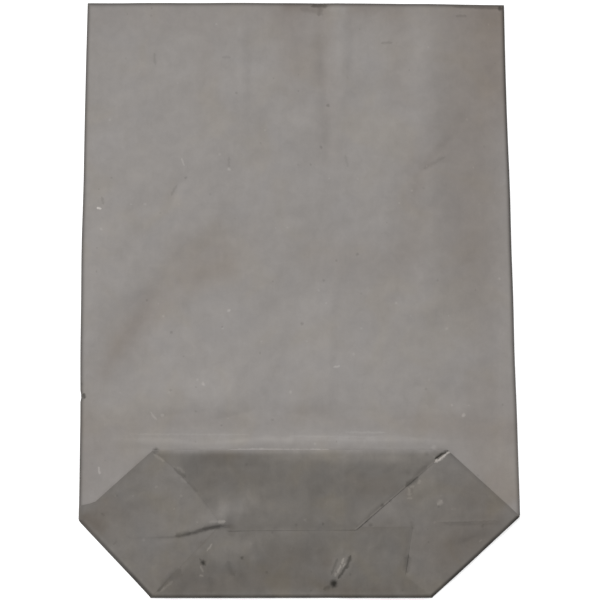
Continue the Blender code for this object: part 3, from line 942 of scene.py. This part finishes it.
# Upper half, its fold and the upper flap, which climbs over the lower flap's end
UPPER_ROWS = 36
UPPER_FLAP_ROWS = 43
TIP_BLUNT_TO, TIP_BLUNT_RUN = 0.26, 0.05
UPPER_FLAP_BULGE_RUNS = (0.009, 0.020)
# The upper flap's darker paper is mixed in less towards its top fold: painted light on the fold's rounding
FOLD_SHOWN, FOLD_SHOWN_RUN = 0.52, 0.0024
high_bend = BOTTOM_TOP - BEND_RADIUS
upper_y = np.append(CREASE, np.linspace(CREASE + PINHOLE, high_bend, UPPER_ROWS))
upper_left, upper_right = half_edges(upper_y, BOTTOM_TOP, UPPER_EDGES)
upper_share = (upper_y - CREASE) / UPPER_HALF
tip_blunt = TIP_BLUNT * ease((TIP_BLUNT_TO - upper_share) / TIP_BLUNT_RUN)
upper_left = np.maximum(upper_left - TIP_SPREAD * (1 - upper_share) - tip_blunt, -TUBE_EDGE)
upper_end = BOTTOM_TOP - UPPER_FLAP
upper_flap_y = np.append(np.linspace(high_bend, upper_end + EDGE_ROW, UPPER_FLAP_ROWS), upper_end)
upper_run = high_bend - upper_flap_y
flap_bulge = (UPPER_FLAP_BULGE * ease(upper_run / UPPER_FLAP_BULGE_RUNS[0])
              * ease((UPPER_FLAP - upper_run) / UPPER_FLAP_BULGE_RUNS[1]))
upper_flap_edges = (upper_left[-1] + upper_run * UPPER_FLAP_SLOPES[0] + flap_bulge,
                    upper_right[-1] - upper_run * UPPER_FLAP_SLOPES[1])
over_lower = ease(upper_run / (high_bend - lower_end))
upper_flap_level = TURNED_LEVEL + 2 * BEND_RADIUS + FLAP_STEP * over_lower
upper_grid, upper_marks = folded_strip(
    upper_y, upper_flap_y, ((upper_left, upper_right), upper_flap_edges),
    (TURNED_LEVEL, np.full_like(upper_y, CORNER_RISE), upper_flap_level, 2 + over_lower),
    toward=1, seam_back=0, flap_shown=FOLD_SHOWN + (1 - FOLD_SHOWN) * ease(upper_run / FOLD_SHOWN_RUN),
    shaded_edges=(0.12, 0.12, 0.0), highlit_edges=(0.04, 0.30, 0.06))

# Each corner where three folds meet has a pinhole
columns_across = upper_grid.shape[1]
pinholes = [(0, column) for column in FIRST_FOLD]
pinholes += [(0, columns_across - 2 - column) for column in FIRST_FOLD]
# Tones and marks of the bottom, as on the body: uneven tone and specks, with painted shade, shadow and
# highlights along folds, flap edges, gaps and creases
BOTTOM_TONES = (
    ((190, 468, 240, 472, 320, 464), 8, -0.05), ((338, 480, 378, 486, 418, 492), 9, -0.09),
    ((196, 453, 222, 454, 246, 454), 3, -0.14), ((268, 456, 300, 456, 352, 457, 410, 457), 3, 0.28),
    ((230, 466, 310, 465, 400, 466), 4.5, 0.07), ((160, 462, 178, 472), 5, 0.08),
    ((222, 508, 240, 506, 262, 503), 5.8, 0.26), ((220, 513, 244, 513), 3, 0.16),
    ((201, 519, 226, 509), 3.8, 0.09), ((430, 459, 396, 486), 3, 0.07),
    ((433, 464, 350, 532), 1.2, 0.08), ((170, 462, 216, 515), 1.4, 0.04),
    ((398, 583, 420, 599), 3, -0.06), ((223, 500, 224, 516), 2.2, 0.14),
    ((184, 490, 222, 491), 6, -0.05), ((98, 484, 108, 476), 4.4, 0.11), ((84, 507, 104, 523), 7, -0.11),
    ((450, 556, 476, 534), 6, -0.05), ((176, 450, 208, 450), 2.8, 0.14),
    ((338, 450, 374, 450), 2.8, 0.14), ((384, 461, 412, 459), 4, 0.06),
    ((458, 546, 492, 520), 7, -0.06), ((370, 592, 398, 591), 5, -0.08),
    ((230, 523, 231, 537), 2.4, -0.14), ((217, 534, 207, 540, 197, 547), 2, -0.16),
    ((264, 514, 330, 512), 4, 0.07), ((212, 555, 236, 551, 256, 547), 6.2, 0.23),
    ((204, 542, 232, 537), 4.2, 0.1), ((356, 516, 376, 510, 398, 503), 4, 0.13),
    ((356, 526, 396, 524), 3, -0.08), ((146, 466, 164, 500, 196, 512), 12, 0.06),
    ((82, 514, 88, 522, 106, 533), 4.4, -0.2), ((80, 507, 96, 505), 2.6, 0.14),
    ((416, 452, 436, 457), 3, 0.2), ((96, 502, 116, 510, 146, 512), 5.6, -0.1),
    ((160, 590, 230, 582, 320, 590), 10, -0.12), ((156, 580, 172, 562), 4.2, -0.09),
    ((262, 556, 330, 552), 4.8, -0.07), ((322, 566, 334, 562), 3.2, -0.11),
    ((316, 586, 352, 588), 4.6, -0.1), ((262, 594, 320, 594), 2.4, 0.12),
    ((340, 593, 396, 593), 3.2, -0.12), ((274, 532, 302, 534), 3.2, 0.08),
    ((358, 556, 392, 558), 5.6, 0.09), ((346, 540, 346, 556), 3.2, 0.08),
    ((346, 556, 340, 568, 334, 577), 2.2, 0.2), ((436, 562, 470, 545, 508, 526), 6, -0.07),
    ((424, 566, 440, 540, 470, 518, 510, 510), 15, -0.13), ((462, 486, 484, 498), 6, -0.08),
    ((428, 588, 452, 570), 6, -0.06), ((422, 474, 424, 500, 412, 516), 5.5, 0.09),
    ((322, 506, 348, 508), 6, 0.06), ((160, 556, 134, 560), 8, 0.05), ((230, 450, 330, 450), 1.6, 0.1),
)
bottom = sheet_object("bag_bottom", [
    (lower_grid, lower_marks, False, pinholes),
    (upper_grid, upper_marks, True, pinholes),
], BOTTOM_TONES)

# Dark marks: painted shadow in the gaps under lifted flap edges and under the lip, painted shade along
# creases and edges, and dark specks
BOTTOM_DARK = (
    ((435, 458.9, 450.8, 448.4), 1, 1), ((405.5, 486, 419, 477), 2, 0.5),
    ((414, 480, 427, 466), 2.2, 0.22), ((408, 473), 2, 0.12), ((412, 488, 412, 496), 1, 0.2),
    ((427, 454), 1.6, 0.16), ((450, 452, 462, 462), 1.4, 0.14), ((382.6, 505.4), 1.3, 0.42),
    ((390.5, 500.6), 1.3, 0.24), ((370, 516, 366, 523), 1.2, 0.2), ((175, 535.8, 191, 532.8), 2, 0.46),
    ((186, 533.8, 208, 527.6), 2.6, 0.1), ((202, 528.6, 221, 525), 2.2, 0.4),
    ((351, 555, 346, 569), 1.4, 0.62), ((348, 564, 338, 579), 1.1, 0.6),
    ((338, 558, 331, 575), 1.1, 0.3), ((333.8, 584), 2.7, 0.98), ((323, 590, 332, 586), 1.4, 0.3),
    ((157, 592, 164, 585), 1.3, 0.34), ((161, 587, 172, 577), 2.8, 0.26),
    ((169, 579, 181, 570), 3.2, 0.26), ((203, 563), 1.7, 0.85), ((199, 559, 206, 566), 0.8, 0.35),
    ((408.5, 555, 407, 573), 2.4, 0.3), ((411, 521, 414, 530), 1.4, 0.16), ((242, 558), 1.1, 0.45),
    ((227, 561, 234, 576), 2.7, 0.2), ((209, 577, 211, 593), 2.6, 0.14), ((267, 573), 1, 0.22),
    ((323, 524), 1, 0.3), ((296, 525), 1, 0.2), ((371, 525), 1.5, 0.35), ((155.3, 450.6), 2, 0.6),
    ((173, 468, 186, 477.5), 1.2, 0.24), ((187, 481, 198, 492), 1, 0.12),
    ((484, 524, 482, 528), 1, 0.2), ((440, 505, 438, 508), 1, 0.22), ((438, 523, 500, 521), 0.5, 0.2),
    ((116, 541, 113, 545), 0.9, 0.2), ((101, 513, 104, 516), 1.2, 0.2),
)
# Pale marks: painted highlights on lifted edges, folds and creases, and pale flecks
BOTTOM_PALE = (
    ((435, 462.2, 446, 455), 1.1, 1.9), ((441, 457.6, 451, 450.4), 0.9, 1.9),
    ((409.5, 488, 409.5, 494), 1, 0.26), ((410, 487, 415, 486), 1, 0.26),
    ((407, 494.3, 412.5, 494.3), 0.9, 0.24), ((407, 498.3, 412.5, 498.3), 0.9, 0.24),
    ((418, 484, 421, 480), 1.1, 0.24), ((438, 505, 442.5, 500.5), 1.8, 0.46),
    ((207, 551, 212, 544), 0.8, 0.45), ((200, 566, 203, 572), 0.7, 0.35),
    ((199, 575, 203, 577), 0.9, 0.45), ((209, 522, 225, 521.4), 1.1, 0.2),
    ((217.5, 521.8, 225.5, 521.4), 1.2, 0.55), ((153.5, 454.5, 165, 461.5), 1.1, 0.3),
    ((160, 592, 173, 581), 0.9, 0.26), ((177, 466.5, 185, 473), 0.9, 0.16),
    ((344, 558, 341.5, 564), 0.9, 0.5), ((341, 565, 337.5, 573), 1, 0.5),
    ((345.5, 564, 343, 567), 0.8, 0.35), ((336.5, 573, 334.5, 577), 0.9, 0.35),
    ((180, 478, 187, 483), 1.3, 0.2), ((156, 487), 0.9, 0.2), ((479, 542, 482, 540), 0.6, 0.35),
    ((305, 520), 1, 0.18), ((143, 540), 1.2, 0.15), ((402, 492, 352, 532), 0.9, 0.06),
)
BOTTOM_PAPER = (0.150, 0.1384, 0.1254, 1)
bottom.data.materials.append(kraft_material(
    "kraft_bottom", (BODY_PAPER, BOTTOM_PAPER), clouds=0.21, grain=0.09, drift=2.0,
    edge_shade_tone=(0.12, 0.117, 0.113, 1), dark_marks=BOTTOM_DARK, pale_marks=BOTTOM_PALE))
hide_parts("paper_bag")
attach(bottom, "root")


# The table and the light
# A plain white table under soft daylight: an even sky, and a broad lamp from beyond the mouth's
# left corner, low enough to show the creases. White ends are seen white, not lit brighter.
TABLE_SIZE = 3.0
TABLE_DROP = 0.0001
SKY = 0.56
LAMP_POWER = 2.2
LAMP_HEADING = math.radians(135)
LAMP_HEIGHT = math.radians(36)
LAMP_SPREAD = math.radians(24)
TABLE_GLOW = 0.5


def seen_itself(w):
    """1 on a ray from the eye, straight, off a gloss or through glass, and 0 on one that only lights."""
    rays = w.node("LightPath").outputs
    turned = w.math("MAXIMUM", rays["Is Glossy Ray"], rays["Is Transmission Ray"])
    return w.math("MAXIMUM", rays["Is Camera Ray"], turned)


table_mesh = bpy.data.meshes.new("table")
half_table = TABLE_SIZE / 2
table_mesh.from_pydata([(-half_table, -half_table, -TABLE_DROP), (half_table, -half_table, -TABLE_DROP),
                        (half_table, half_table, -TABLE_DROP), (-half_table, half_table, -TABLE_DROP)],
                       [], [(0, 1, 2, 3)])
table = in_scene("table", table_mesh)
table_finish = bpy.data.materials.new("white_table")
table_finish.use_nodes = True
w = Wiring(table_finish.node_tree)
matt = table_finish.node_tree.nodes["Principled BSDF"]
matt.inputs["Base Color"].default_value = (0.8, 0.8, 0.8, 1)
matt.inputs["Roughness"].default_value = 0.9
glow = w.node("Emission", {"Color": (1, 1, 1, 1), "Strength": w.times(seen_itself(w), TABLE_GLOW)})
both = w.node("AddShader", {0: matt.outputs[0], 1: glow.outputs[0]})
ending = table_finish.node_tree.nodes["Material Output"]
w.tree.links.new(both.outputs[0], ending.inputs["Surface"])
table_mesh.materials.append(table_finish)

lamp_data = bpy.data.lights.new("window", "SUN")
lamp_data.energy = LAMP_POWER
lamp_data.angle = LAMP_SPREAD
lamp = in_scene("window", lamp_data)
lamp.rotation_euler = (math.pi / 2 - LAMP_HEIGHT, 0, LAMP_HEADING + math.pi / 2)

sky = bpy.data.worlds.new("sky")
bpy.context.scene.world = sky
sky.use_nodes = True
w = Wiring(sky.node_tree)
brightness = w.math("MULTIPLY_ADD", seen_itself(w), 1.0 - SKY, SKY)
background = sky.node_tree.nodes["Background"]
background.inputs["Color"].default_value = (1, 1, 1, 1)
w.tree.links.new(brightness, background.inputs["Strength"])
bpy.context.scene.view_settings.view_transform = "Standard"
